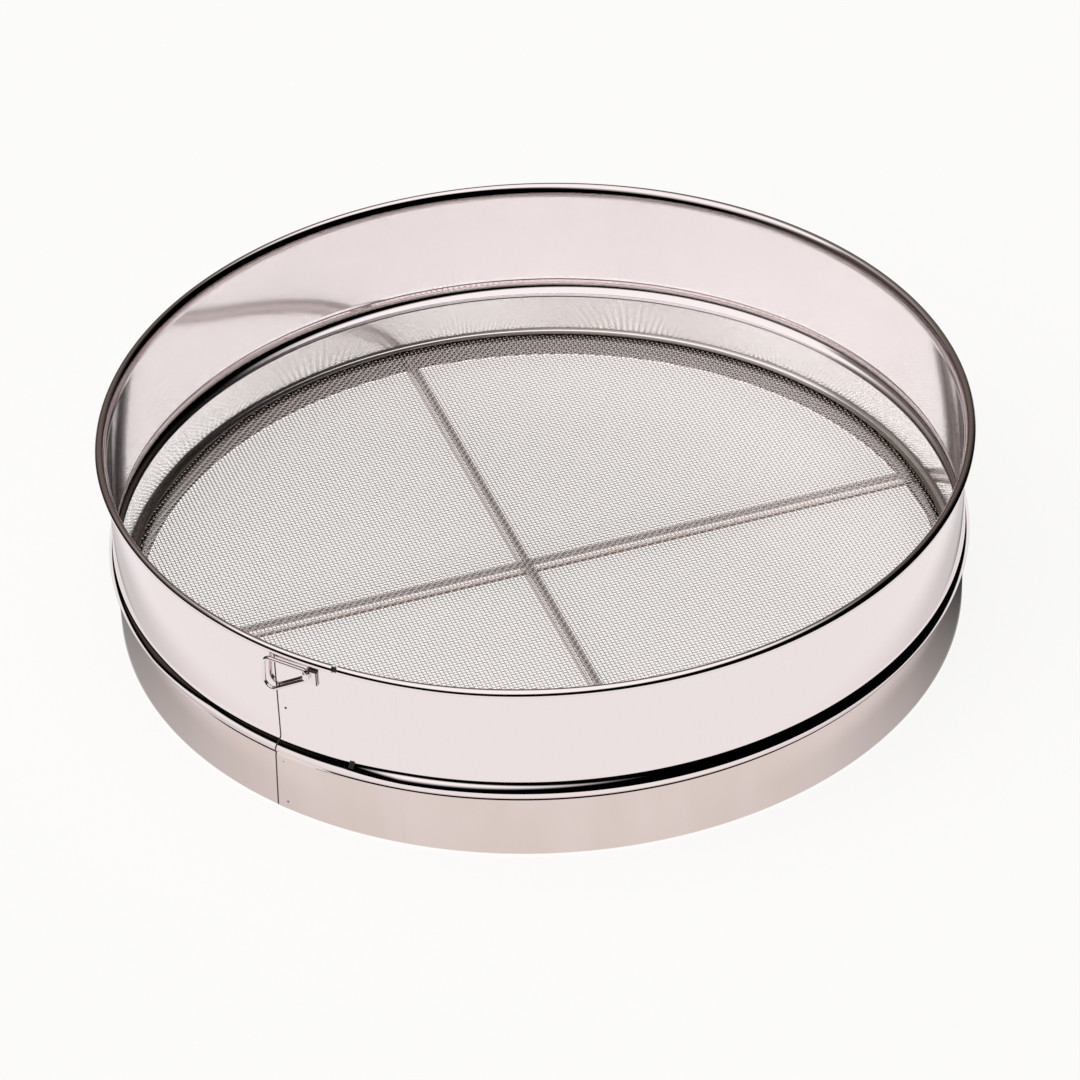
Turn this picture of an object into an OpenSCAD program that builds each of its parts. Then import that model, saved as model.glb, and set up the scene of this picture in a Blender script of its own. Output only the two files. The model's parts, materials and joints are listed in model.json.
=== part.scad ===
// Tamis drum sieve: a sheet drum with a wire-cored rolled rim and a swaged bead,
// a woven wire cloth clamped near its lower edge, a cross of support strips
// under the cloth, and a wire hanging loop that swings in a clip on the wall.
// Base on z = 0, drum axis on Z, front towards -Y. Azimuths count from the
// front, and are negative towards -X.

/* [Drum] */
// Outside diameter over the rolled rim
rim_od = 350; // [280:1:410]
// Overall height
drum_h = 82; // [74:0.5:110]
// Thickness of the drum's sheet
sheet = 0.6; // [0.5:0.1:0.7]
// Diameter of the rolled rim
roll_d = 5; // [4.6:0.1:6]
// Slot between the roll's edge and the wall
roll_slot = 0.5; // [0.3:0.1:0.6]
// Outside radius of the bottom corner
corner_r = 1.4; // [1.2:0.1:2.5]
// Inner radius of the bottom flange, less than the wall's
flange_w = 6.6; // [6.2:0.1:9]

/* [Bead] */
// Height of the bead's lower crease
bead_z = 26.8; // [25:0.1:34]
// Height of the bead
bead_h = 9.3; // [7:0.1:12]
// How far the bead stands out of the wall
bead_out = 2.2; // [1.2:0.1:2.6]

/* [Side lap] */
// Azimuth of the outer sheet's end
lap_az = -37; // [-41:0.5:-36]
// Azimuth of the butt in the rolled rim
butt_az = -26.9; // [-28:0.1:-24]
// Width of the butt
butt_w = 3; // [1.5:0.1:4]
// Azimuth where the lap has faded into the wall
lap_fade_az = -14; // [-18:1:0]
// How far the lap's end stands out of the wall
lap_out = 0.5; // [0.3:0.1:0.6]
// How far the roll stands out over the lap
lap_roll_out = 0.3; // [0.2:0.1:0.5]

/* [Cloth seat] */
// Height of the seat ring's top face
seat_top = 8.4; // [7.6:0.1:10]
// Thickness of the seat ring
seat_t = 0.8; // [0.6:0.1:1]
// Width of the seat ring's top face
seat_w = 5.8; // [5:0.1:6]
// Width of the hoop's turned-in foot
foot_w = 5.3; // [4.4:0.1:5.6]
// Room between the hoop's top edge and the bead
hoop_drop = 1.1; // [0.6:0.1:3]

/* [Cloth] */
// Diameter of one cloth wire
cloth_wire = 0.45; // [0.3:0.05:0.5]
// Spacing of the cloth's stand-in bars
net_pitch = 19.4; // [19:0.1:24]
// Width of one stand-in bar
net_bar = 0.9; // [0.8:0.1:1.2]

/* [Support cross] */
// Width of a support strip
strip_w = 3.8; // [3:0.1:5]
// Height of a support strip
strip_h = 5; // [4:0.1:5.4]
// Thickness of a strip's sheet
strip_t = 0.6; // [0.5:0.1:0.8]
// Turn of the cross and the cloth
cross_turn = 17.8; // [0:0.1:45]
// Distance of the long strip behind the drum's axis
long_strip_off = 5.5; // [0:0.1:10]
// Distance of the lapped strip left of the drum's axis
lapped_strip_off = 3.6; // [0:0.1:10]

/* [Hanger] */
// Azimuth of the hinge line
hinge_az = -31.2; // [-33:0.1:-30]
// Diameter of the loop's wire
loop_wire = 1.8; // [1.6:0.1:2]
// Reach of the loop, hinge line to far side
loop_reach = 19.5; // [16:0.1:24]
// Height of the loop's far side
loop_far_h = 16; // [12:0.1:18]
// Height of the loop's hinge side
loop_near_h = 5.8; // [5.4:0.1:7]
// Slant of the far side
loop_slant = 1; // [0:0.1:2]
// Radius of the far corners
loop_far_r = 3.4; // [2.4:0.1:4]
// Radius of the near corners
loop_near_r = 1.3; // [1.1:0.1:1.5]
// How much fuller the bends are than the sides
bend_swell = 0.03; // [0.02:0.01:0.06]
// Thickness of the clip's strap
strap_t = 0.6; // [0.4:0.1:0.8]
// Width of the clip's foot
clip_foot_w = 5.6; // [4:0.1:8]
// Height of the clip's foot
clip_foot_h = 6.4; // [5:0.1:7]
// How far the foot hangs below the barrel's middle
clip_foot_drop = 0.8; // [0:0.1:2]

/* [Fits] */
// Play between the rim wire and the roll
wire_play = 0.05; // [0.02:0.01:0.1]
// Gap between rings and sheets that are pressed together
press_gap = 0.1; // [0.05:0.01:0.15]
// Gap above and below the clamped cloth
cloth_gap = 0.05; // [0.02:0.01:0.1]
// Play of the loop's wire in the clip
hinge_play = 0.07; // [0.02:0.01:0.1]
// Gap between the loop and the rolled rim
loop_drop = 0.35; // [0.2:0.05:1]

/* [Hidden] */
$fn = 128;
tiny = 0.01;
far = 2 * rim_od;

// Wall, rolled rim and bead
wall_ri = rim_od / 2 - roll_d;
wall_ro = wall_ri + sheet;
roll_r = roll_d / 2;
roll_rc = rim_od / 2 - roll_r;
roll_z = drum_h - roll_r;
roll_under = drum_h - roll_d;
flange_ri = wall_ri - flange_w;
bead_mid = bead_z + bead_h / 2;
bead_r = (pow(bead_h / 2, 2) + pow(bead_out, 2)) / (2 * bead_out);
lap_top = roll_under - sheet;

// Cloth and what clamps it
seat_ro = wall_ri - press_gap;
seat_ri = seat_ro - seat_w;
cloth_t = 2 * cloth_wire;
cloth_z = seat_top + cloth_gap;
cloth_ro = wall_ri - sheet - 2 * press_gap;
cloth_edge_w = 5.2;
foot_z = cloth_z + cloth_t + cloth_gap;
hoop_ro = wall_ri - press_gap;
hoop_top = bead_z - hoop_drop;
hoop_corner = 1.2;

// Support cross
strip_top = seat_top - press_gap;
strip_end_r = seat_ri - press_gap;
strip_corner = 1.1;
lap_slot = strip_w + 2 * press_gap;

// Hanging loop
pin_r = loop_wire / 2;
barrel_ri = pin_r + hinge_play;
barrel_ro = barrel_ri + strap_t;
lap_shift = lap_out / (1 - cos(lap_fade_az - lap_az));
clip_ri = wall_ro + lap_shift * (1 - cos(hinge_az - lap_fade_az)) + press_gap / 2;
clip_ro = clip_ri + strap_t;
hinge_r = clip_ri + barrel_ro;
loop_top_z = roll_under - loop_drop - pin_r;
loop_pts = [
    [0, loop_top_z - loop_near_h],
    [0, loop_top_z],
    [-loop_reach + loop_slant, loop_top_z],
    [-loop_reach, loop_top_z - loop_far_h]];
loop_rs = [loop_near_r, loop_near_r, loop_far_r, loop_far_r];

// Corner helpers: heading of a side, turn at a corner, and tangent length
function side_dir(a, b) = (b - a) / norm(b - a);
function heading(v) = atan2(v[1], v[0]);
function turn(u, v) = (heading(v) - heading(u) + 360) % 360;
function last(i, n) = (i + n - 1) % n;
function corner_turn(p, i) = turn(side_dir(p[last(i, len(p))], p[i]),
    side_dir(p[i], p[(i + 1) % len(p)]));
function tangent(p, r, i) = r[i] * tan(corner_turn(p, i) / 2);

near_low_tangent = tangent(loop_pts, loop_rs, 0);
near_top_tangent = tangent(loop_pts, loop_rs, 1);
barrel_gap = 0.15;
barrel_z0 = loop_top_z - loop_near_h + near_low_tangent + barrel_gap;
barrel_z1 = loop_top_z - near_top_tangent - barrel_gap;
clip_mid = (barrel_z0 + barrel_z1) / 2 - clip_foot_drop;

// Turn a thing made at the front to its azimuth
module at_azimuth(az) {
    rotate([0, 0, az]) children();
}

// A wedge of the round between two azimuths, both within a quarter turn
module wedge(az0, az1, z0, z1) {
    translate([0, 0, z0]) linear_extrude(z1 - z0)
        polygon([[0, 0], far * [sin(az0), -cos(az0)], far * [sin(az1), -cos(az1)]]);
}

// A ring of rectangular section
module ring(ri, ro, z0, z1) {
    translate([0, 0, z0]) difference() {
        cylinder(r = ro, h = z1 - z0);
        translate([0, 0, -tiny]) cylinder(r = ri, h = z1 - z0 + 2 * tiny);
    }
}

// Rounded quarter of a bent sheet: centre of the bend, outer radius and thickness
module bend(c, r, t, side) {
    translate(c) intersection() {
        difference() {
            circle(r = r);
            circle(r = r - t);
        }
        translate([side[0] < 0 ? -r : 0, side[1] < 0 ? -r : 0]) square(r);
    }
}

// Section of the drum's sheet
module shell_section() {
    // wall with its bead pressed out
    difference() {
        union() {
            translate([wall_ri, corner_r]) square([sheet, roll_z - corner_r]);
            intersection() {
                translate([wall_ro + bead_out - bead_r, bead_mid]) circle(r = bead_r);
                translate([wall_ri, bead_z - bead_h]) square([roll_d, 3 * bead_h]);
            }
        }
        translate([wall_ro + bead_out - bead_r, bead_mid]) circle(r = bead_r - sheet);
    }
    // bottom corner and flange
    bend([wall_ro - corner_r, corner_r], corner_r, sheet, [1, -1]);
    translate([flange_ri, 0]) square([wall_ro - corner_r - flange_ri, sheet]);
    roll_section(0);
}

// Section of the rolled rim, open where its edge comes back to the wall
module roll_section(out) {
    difference() {
        translate([roll_rc + out, roll_z]) circle(r = roll_r);
        translate([roll_rc, roll_z]) circle(r = roll_r - sheet);
        translate([wall_ro, roll_under - roll_d]) square([roll_slot, roll_d + 2 * sheet]);
    }
}

// Crescent that carries the outer sheet's end, fading into the wall
module lap(z0, z1) {
    intersection() {
        difference() {
            at_azimuth(lap_fade_az) translate([0, lap_shift, z0])
                cylinder(r = wall_ro + lap_shift, h = z1 - z0);
            translate([0, 0, z0 - tiny])
                cylinder(r = wall_ri + sheet / 2, h = z1 - z0 + 2 * tiny);
        }
        wedge(lap_az, (lap_az + 3 * lap_fade_az) / 4, z0 - tiny, z1 + tiny);
    }
}

module drum_shell() {
    color([0.86, 0.85, 0.86]) difference() {
        union() {
            rotate_extrude() shell_section();
            lap(corner_r, bead_z);
            lap(bead_z + bead_h, lap_top);
            // double roll over the lap
            intersection() {
                rotate_extrude() roll_section(lap_roll_out);
                wedge(lap_az, butt_az, lap_top, drum_h + sheet);
            }
        }
        // the butt in the rolled rim
        at_azimuth(butt_az) translate([-butt_w / 2, -far / 2, lap_top])
            cube([butt_w, far / 2 - wall_ro - sheet / 4, roll_d + 2 * sheet]);
    }
}

module rim_wire() {
    color([0.42, 0.42, 0.43]) rotate_extrude()
        translate([roll_rc, roll_z]) circle(r = roll_r - sheet - wire_play);
}

module retaining_hoop() {
    color([0.80, 0.79, 0.80]) rotate_extrude() {
        translate([hoop_ro - sheet, foot_z + hoop_corner])
            square([sheet, hoop_top - foot_z - hoop_corner]);
        bend([hoop_ro - hoop_corner, foot_z + hoop_corner], hoop_corner, sheet, [1, -1]);
        translate([hoop_ro - foot_w, foot_z])
            square([foot_w - hoop_corner, sheet]);
        translate([hoop_ro - foot_w, foot_z + sheet / 2]) circle(r = sheet / 2);
    }
}

module seat_ring() {
    color([0.60, 0.60, 0.61]) rotate_extrude() {
        translate([seat_ri, sheet + cloth_gap])
            square([seat_t, seat_top - hoop_corner - sheet - cloth_gap]);
        bend([seat_ri + hoop_corner, seat_top - hoop_corner], hoop_corner, seat_t, [-1, 1]);
        translate([seat_ri + hoop_corner, seat_top - seat_t])
            square([seat_w - hoop_corner, seat_t]);
    }
}

// One set of parallel bars of the cloth's stand-in
module net_bars() {
    n = floor((seat_ri - net_bar) / net_pitch);
    for (i = [-n : n])
        translate([-cloth_ro, i * net_pitch - net_bar / 2, cloth_z])
            cube([2 * cloth_ro, net_bar, cloth_t]);
}

module wire_cloth() {
    color([0.74, 0.73, 0.72]) {
        ring(cloth_ro - cloth_edge_w, cloth_ro, cloth_z, cloth_z + cloth_t);
        intersection() {
            translate([0, 0, cloth_z])
                cylinder(r = cloth_ro - cloth_edge_w / 2, h = cloth_t);
            rotate([0, 0, cross_turn]) union() {
                net_bars();
                rotate([0, 0, 90]) net_bars();
            }
        }
    }
}

// Section of a strip, an upturned channel with its top face at y = 0
module strip_section() {
    in = strip_w / 2 - strip_corner;
    for (s = [-1, 1]) {
        bend([s * in, -strip_corner], strip_corner, strip_t, [s, 1]);
        translate([s * (strip_w - strip_t) / 2 - strip_t / 2, -strip_h])
            square([strip_t, strip_h - strip_corner]);
    }
    translate([-in, -strip_t]) square([2 * in, strip_t]);
}

// A strip along X, trimmed to the seat ring, off the axis by the given distance
module strip(off) {
    intersection() {
        translate([-strip_end_r, off, strip_top]) rotate([90, 0, 90])
            linear_extrude(2 * strip_end_r) strip_section();
        cylinder(r = strip_end_r, h = seat_top);
    }
}

module long_strip() {
    color([0.66, 0.65, 0.65]) rotate([0, 0, cross_turn]) difference() {
        strip(long_strip_off);
        // slot from below for the lapped strip
        translate([-lapped_strip_off - lap_slot / 2, -far / 2, strip_top - strip_h - tiny])
            cube([lap_slot, far, strip_h / 2 + tiny]);
    }
}

module lapped_strip() {
    color([0.66, 0.65, 0.65]) rotate([0, 0, cross_turn + 90]) difference() {
        strip(lapped_strip_off);
        // slot from above for the long strip
        translate([long_strip_off - lap_slot / 2, -far / 2, strip_top - strip_h / 2 - press_gap])
            cube([lap_slot, far, strip_h]);
    }
}

module hanger_clip() {
    color([0.70, 0.69, 0.70]) at_azimuth(hinge_az) difference() {
        union() {
            translate([0, -hinge_r, barrel_z0]) cylinder(r = barrel_ro, h = barrel_z1 - barrel_z0);
            // foot on the wall, right of the hinge line
            intersection() {
                ring(clip_ri, clip_ro, clip_mid - clip_foot_h / 2, clip_mid + clip_foot_h / 2);
                translate([barrel_ro, -far, 0]) cube([clip_foot_w, far, drum_h]);
            }
            // neck from the barrel to the foot
            intersection() {
                ring(clip_ri, clip_ro, barrel_z0, barrel_z1);
                translate([0, -far, 0]) cube([barrel_ro + strap_t, far, drum_h]);
            }
        }
        translate([0, -hinge_r, barrel_z0 - 1]) cylinder(r = barrel_ri, h = drum_h);
    }
}

// Round wire from one bend to the next, run a little way into both
module loop_side(i) {
    n = len(loop_pts);
    u = side_dir(loop_pts[i], loop_pts[(i + 1) % n]);
    a = loop_pts[i] + u * (tangent(loop_pts, loop_rs, i) - bend_swell);
    b = loop_pts[(i + 1) % n] - u * (tangent(loop_pts, loop_rs, (i + 1) % n) - bend_swell);
    translate([a[0], 0, a[1]]) rotate([0, 90 - heading(u), 0])
        cylinder(r = pin_r, h = norm(b - a));
}

// Round wire bent through a corner of the loop
module loop_corner(i) {
    n = len(loop_pts);
    u = side_dir(loop_pts[last(i, n)], loop_pts[i]);
    start = loop_pts[i] - u * tangent(loop_pts, loop_rs, i);
    c = start + loop_rs[i] * [-u[1], u[0]];
    translate([c[0], 0, c[1]]) rotate([90, 0, 0]) rotate([0, 0, heading(u) - 90])
        rotate_extrude(angle = corner_turn(loop_pts, i))
            translate([loop_rs[i], 0]) circle(r = pin_r + bend_swell);
}

module hanging_loop() {
    color([0.70, 0.69, 0.70]) at_azimuth(hinge_az) translate([0, -hinge_r, 0])
        for (i = [0 : len(loop_pts) - 1]) {
            loop_corner(i);
            loop_side(i);
        }
}

drum_shell();
rim_wire();
retaining_hoop();
seat_ring();
wire_cloth();
long_strip();
lapped_strip();
hanger_clip();
hanging_loop();
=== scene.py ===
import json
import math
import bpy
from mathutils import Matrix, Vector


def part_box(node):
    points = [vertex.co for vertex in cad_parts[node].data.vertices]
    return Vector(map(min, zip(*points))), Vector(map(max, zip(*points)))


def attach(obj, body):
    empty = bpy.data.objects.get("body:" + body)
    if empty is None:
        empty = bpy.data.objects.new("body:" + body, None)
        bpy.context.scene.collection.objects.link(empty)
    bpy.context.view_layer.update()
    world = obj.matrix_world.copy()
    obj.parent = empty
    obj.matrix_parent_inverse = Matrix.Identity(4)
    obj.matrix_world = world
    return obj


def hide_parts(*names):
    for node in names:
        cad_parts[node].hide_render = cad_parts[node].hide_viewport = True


bl_info = {
    "name": "Tamis drum sieve",
    "version": (1, 0, 0),
    "blender": (4, 5, 0),
    "location": "3D View > Sidebar > Tamis",
    "description": "Dresses a packed drum sieve in polished sheet steel and woven wire",
    "category": "Add Mesh",
}

import bmesh
import bpy
from bmesh.types import BMEdge, BMVert
from bpy.props import FloatProperty, FloatVectorProperty, IntProperty, PointerProperty
from mathutils import Matrix, Vector

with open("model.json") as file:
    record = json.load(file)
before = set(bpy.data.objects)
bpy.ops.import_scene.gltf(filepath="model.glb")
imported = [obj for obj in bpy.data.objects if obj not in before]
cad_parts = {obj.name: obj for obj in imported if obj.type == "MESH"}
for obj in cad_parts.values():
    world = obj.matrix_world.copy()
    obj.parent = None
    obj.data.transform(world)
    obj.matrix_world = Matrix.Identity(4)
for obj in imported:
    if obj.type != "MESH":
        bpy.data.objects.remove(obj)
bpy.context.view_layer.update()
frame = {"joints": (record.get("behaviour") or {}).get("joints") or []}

MM = 0.001
SHELL_LOW, SHELL_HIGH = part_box("drum_shell")
RIM_RADIUS = round(SHELL_HIGH[0] - SHELL_LOW[0], 3) / 2
DRUM_HEIGHT = round(SHELL_HIGH[2], 4)
HINGE = Vector(frame["joints"][0]["pos_m"])
HINGE_RADIUS = math.hypot(HINGE.x, HINGE.y)
HINGE_AZIMUTH = math.atan2(HINGE.x, -HINGE.y)

X_AXIS = Vector((1, 0, 0))
Y_AXIS = Vector((0, 1, 0))
Z_AXIS = Vector((0, 0, 1))

# Where the finishes and the painted light and shade change, in metres from the axis: one side of the
# change and the other.
WALL_FACES = (0.1702, 0.1704)
HOOP_BEND = (0.1668, 0.1674)
CLOTH_MARGIN = (0.1620, 0.1640)

# The same as heights.
BEAD_FOOT = (0.0272, 0.0279)
# Height band of the painted shade on the strips' lower edges.
STRIP_LOWER_SHADE = (0.0051, 0.0063)
STRIP_TOP = (0.0079, 0.0082)
WIRE_TOP = (0.00885, 0.0092)
WIRE_KNUCKLE = (0.00905, 0.0093)

# Stretches of azimuth in degrees: start, width of the start, end, width of the end.
FLAT_BEAD = (-62, 13, -19, 8)
PRESSED_RIM = (-88, 28, -4, 26)


def length(name, description, millimetres):
    """A property for a length, given in millimetres."""
    return FloatProperty(
        name=name, description=description, default=millimetres * MM, unit="LENGTH", precision=5
    )


def azimuth(name, description, degrees):
    """A property for an angle. Azimuths count from the front and are negative towards -X."""
    return FloatProperty(
        name=name, description=description, default=math.radians(degrees), subtype="ANGLE"
    )


def share(name, description, value):
    """A property for a number from 0 to 1."""
    return FloatProperty(
        name=name, description=description, default=value, min=0, max=1, subtype="FACTOR"
    )


def tint(name, description, rgb):
    """A property for a colour."""
    return FloatVectorProperty(
        name=name, description=description, default=rgb, size=3, min=0, max=1, subtype="COLOR"
    )


class DrumSizes(bpy.types.PropertyGroup):
    """Sizes of the drum's own sheet."""

    sheet: length("Sheet", "Thickness of the sheet", 0.6)
    rim: length("Rim width", "Width of the rolled rim with the wall", 5.0)
    roll: length("Roll radius", "Outside radius of the roll", 1.8)
    roll_slot: length("Roll slot", "Slot between the roll's edge and the wall", 0.5)
    flare: length("Flare", "Radius of the bend that leads from the wall into the roll", 8.4)
    flare_turn: azimuth("Flare turn", "How far that bend leans out before the roll", 33)
    bead_low: length("Bead foot", "Height of the bead's lower crease", 27.9)
    bead_crest: length("Bead crest", "Height of the bead's crest", 32.0)
    bead_high: length("Bead top", "Height where the wall runs straight again", 37.0)
    bead_out: length("Bead depth", "How far the bead stands out of the wall", 2.35)
    bead_belly: azimuth("Bead belly", "Turn of the arc below the crest", 60)
    bead_dome: length("Bead dome", "Radius of the arc above the crest", 8.6)
    bead_lean: azimuth("Bead lean", "Slope where the dome runs into the cove", 40)
    bead_cove: length("Bead cove", "Radius of the cove that leads into the wall", 3.6)
    neck: length("Neck", "How far the wall draws in under the bead", 0.3)
    crease: length("Crease", "Height in which the wall draws in", 0.8)
    corner: length("Bottom corner", "Outside radius of the bottom corner", 1.4)
    flange: length("Flange", "Width of the bottom flange", 6.6)
    facets: IntProperty(name="Facets", description="Steps round the drum", default=360)


class LapSizes(bpy.types.PropertyGroup):
    """Sizes of the side lap and its welds."""

    end: azimuth("Lap end", "Azimuth of the outer sheet's end", -37)
    fade: azimuth("Lap fade", "Azimuth where the lap meets the wall", -14)
    butt: azimuth("Butt", "Azimuth of the butt in the rolled rim", -26.9)
    lean: azimuth("Lap lean", "How far the lap's end leans over the bead", 1.0)
    low_lean: azimuth("Low lean", "How far the lap's end leans under the bead", 0.3)
    out: length("Lap step", "How far the lap's end stands out of the wall", 0.5)
    line: length("Lap line", "Width of the dark line along the lap's end", 0.7)
    notch: length("Butt gap", "Width of the gap in the roll and the notch below it", 2.2)
    notch_turn: azimuth("Notch turn", "From the butt to the notch on the bead", 1.25)
    notch_low: length("Notch foot", "Height of the notch's foot", 33.4)
    notch_high: length("Notch top", "Height of the notch's top", 36.3)
    roll_out: length("Roll step", "How far the roll stands out over the lap", 0.3)
    spot: length("Weld spot", "Radius of a weld spot", 0.55)


class ClothSizes(bpy.types.PropertyGroup):
    """Sizes of the woven wire cloth and what clamps it."""

    height: length("Cloth height", "Height of the cloth's middle", 8.9)
    radius: length("Cloth radius", "Radius of the cloth's cut edge", 169.2)
    pitch: length("Pitch", "Spacing of the cloth's wires", 1.62)
    wire: length("Cloth wire", "Diameter of a cloth wire", 0.45)
    wave: length("Wave", "How far a wire swings up and down", 0.27)
    turn: azimuth("Cloth turn", "Turn of the cloth and the cross", 17.8)
    pieces: IntProperty(name="Pieces", description="Pieces of cloth each way", default=4)
    play: length("Play", "Gap between rings that are pressed together", 0.1)
    foot: length("Hoop foot", "Width of the hoop's turned-in foot", 4.5)
    foot_height: length("Hoop foot height", "Height of the foot's underside", 9.4)
    foot_rise: length("Foot rise", "How far the foot rises towards the axis", 0.35)
    hoop_lean: length("Hoop lean", "How far the hoop leans in towards its foot", 1.4)
    hoop_top: length("Hoop top", "Height of the hoop's top edge", 26.5)
    seat: length("Seat ring", "Thickness of the seat ring", 0.8)
    seat_width: length("Seat width", "Width of the seat ring's top face", 5.8)
    seat_top: length("Seat top", "Height of the seat ring's top face", 8.4)
    bend: length("Ring bends", "Outside radius of the hoop's and ring's bends", 1.0)


class CrossSizes(bpy.types.PropertyGroup):
    """Sizes of the two strips under the cloth."""

    width: length("Strip width", "Width of a strip", 3.8)
    depth: length("Strip depth", "Height of a strip", 5.0)
    sheet: length("Strip sheet", "Thickness of a strip's sheet", 0.6)
    corner: length("Strip corner", "Outside radius of a strip's bends", 1.1)
    top: length("Strip top", "Height of the strips' top faces", 8.3)
    long_off: length("Long strip", "Distance of the long strip from the axis", 5.5)
    lapped_off: length("Lapped strip", "Distance of the lapped strip from the axis", 3.6)
    slot: length("Lap slot", "Width of the slots of the half lap", 4.0)


class HangerSizes(bpy.types.PropertyGroup):
    """Sizes of the hanging loop and its clip."""

    wire: length("Loop wire", "Diameter of the loop's wire", 1.6)
    play: length("Hinge play", "Play of the wire in the clip", 0.07)
    reach: length("Reach", "From the hinge line to the loop's far side", 20.2)
    slant: length("Slant", "How far the far side leans out at its foot", 1.0)
    top: length("Loop top", "Height of the loop's top wire", 75.75)
    far_height: length("Far side", "Height of the loop's far side", 17.9)
    near_height: length("Near side", "Height of the loop's hinge side", 4.6)
    droop: length("Droop", "How far the top wire falls towards the far side", 0.7)
    far_bend: length("Far bends", "Radius of the far corners", 3.4)
    near_bend: length("Near bends", "Radius of the near corners", 1.1)
    strap: length("Strap", "Thickness of the clip's strap", 0.6)
    foot_width: length("Foot width", "Width of the clip's foot", 2.6)
    foot_height: length("Foot height", "Height of the clip's foot", 6.4)
    foot_drop: length("Foot drop", "How far the foot hangs below the barrel", 0.8)


class Finishes(bpy.types.PropertyGroup):
    """Colours and polish of the steels."""

    sheet_tint: tint("Sheet", "Reflection colour of the polished sheet", (0.90, 0.815, 0.815))
    # Painted reflection colours: the inner wall and the lower wall get tints of their own for what
    # they mirror; the lower one is painted shade.
    inner_tint: tint("Inner wall", "Reflection colour inside the wall", (0.89, 0.825, 0.835))
    low_tint: tint("Lower wall", "Reflection colour below the bead", (0.75, 0.645, 0.61))
    sheet_haze: share("Sheet haze", "Roughness of the polished sheet", 0.04)
    # The hoop's band and foot are one sheet: painted light on the band, painted shade on the foot.
    hoop_tint: tint("Hoop", "Reflection colour of the hoop", (1.0, 0.97, 0.96))
    foot_tint: tint("Hoop foot", "Reflection colour of the hoop's foot", (0.36, 0.31, 0.28))
    hoop_haze: share("Hoop haze", "Roughness of the hoop's band", 0.14)
    # Painted shade: the seat ring is near black for the shade it lies in below the cloth.
    ring_tint: tint("Seat ring", "Reflection colour of the seat ring", (0.05, 0.038, 0.032))
    ring_haze: share("Ring haze", "Roughness of the seat ring", 0.28)
    # Painted light and shade on the cloth's wire: the top colour is painted light, the lower side's
    # colour is painted shade.
    wire_tint: tint("Cloth wire", "Reflection colour of the cloth's wire", (0.98, 0.93, 0.91))
    under_tint: tint("Wire below", "Reflection colour of the wire's lower side", (0.46, 0.41, 0.39))
    # Painted shade and painted highlights: over the seat ring the cloth's wire is painted near black,
    # with bright knuckle tops.
    margin_shade_tint: tint("Stain", "Reflection colour of stained wire", (0.10, 0.075, 0.06))
    knuckle_highlight_tint: tint("Knuckles", "Reflection colour on top of stained wire", (0.95, 0.90, 0.86))
    wire_haze: share("Wire haze", "Roughness of the cloth's wire", 0.14)
    # Painted light and shade on the strips: the pale tops are painted light, and the sides and the
    # brown lower edges are painted shade.
    strip_tint: tint("Strips", "Colour of the strips' tops", (0.92, 0.88, 0.87))
    side_tint: tint("Strip sides", "Reflection colour of the strips' sides", (0.66, 0.60, 0.57))
    strip_lower_shade_tint: tint("Strip burn", "Reflection colour of burnt strips", (0.10, 0.065, 0.045))
    strip_haze: share("Strip haze", "Roughness of the strips", 0.3)
    hanger_tint: tint("Hanger", "Reflection colour of the hanger", (0.84, 0.79, 0.78))
    hanger_haze: share("Hanger haze", "Roughness of the hanger", 0.06)
    # Painted shade: the core wire is near black and matt, for the dark inside of the roll seen
    # through the butt gap; the bead's notch uses the same colour.
    core_tint: tint("Core wire", "Colour of the wire inside the rim", (0.02, 0.016, 0.014))
    core_haze: share("Core haze", "Roughness of that wire", 0.6)
    # Real burnt weld spots; the same colour is painted shade on the lap's dark line and on the clip's
    # edge and mouth.
    spot_tint: tint("Weld spots", "Colour of the burnt weld spots", (0.05, 0.032, 0.024))
    spot_haze: share("Spot haze", "Roughness of the weld spots", 0.5)


class Studio(bpy.types.PropertyGroup):
    """The camera, the floor and the light."""

    focal: FloatProperty(name="Lens", description="Focal length in mm", default=166.67)
    sensor: FloatProperty(name="Sensor", description="Sensor width in mm", default=36.0)
    distance: length("Distance", "From the camera to the rim's centre plane", 1986)
    down: azimuth("Down", "How far the camera looks down", 36.69)
    roll: azimuth("Roll", "How far the camera is rolled", -2.31)
    aim_height: length("Aim height", "Height of the rim's centre plane", 79.5)
    shift_x: length("Shift X", "Offset of the aim to the right", -0.25)
    shift_y: length("Shift Y", "Offset of the aim upwards", 46.0)
    floor_radius: length("Floor", "Radius of the floor", 6000)
    floor_glow: share("Floor glow", "Brightness that no shadow takes from the floor", 0.88)
    table_glow: share("Table glow", "Brightness of the floor in the steel's reflections", 0.93)
    near_shade: share("Near shade", "How much darker it is round the drum", 0.3)
    side_shade: share("Side shade", "How much darker it is close beside the drum", 0.40)
    under_glow: FloatProperty(
        name="Under glow", description="Brightness of the floor below the cloth", default=1.6
    )
    table_radius: length("Table", "Radius of the bright table that the steel mirrors", 300)


class Amount:
    """A number in a material, worked out with Math nodes."""

    def __init__(self, recipe, socket):
        self.recipe = recipe
        self.socket = socket

    def _math(self, operation, *values):
        return self.recipe.amount("Math", *values, settings={"operation": operation})

    def __add__(self, other):
        return self._math("ADD", self, other)

    def __sub__(self, other):
        return self._math("SUBTRACT", self, other)

    def __rsub__(self, other):
        return self._math("SUBTRACT", other, self)

    def __mul__(self, other):
        return self._math("MULTIPLY", self, other)

    def rooted(self):
        """Square root."""
        return self._math("SQRT", self)

    def within(self, low, high):
        """0 below low and 1 above high, eased between."""
        ramp = {"interpolation_type": "SMOOTHSTEP"}
        return self.recipe.amount("MapRange", self, low, high, settings=ramp)


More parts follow.
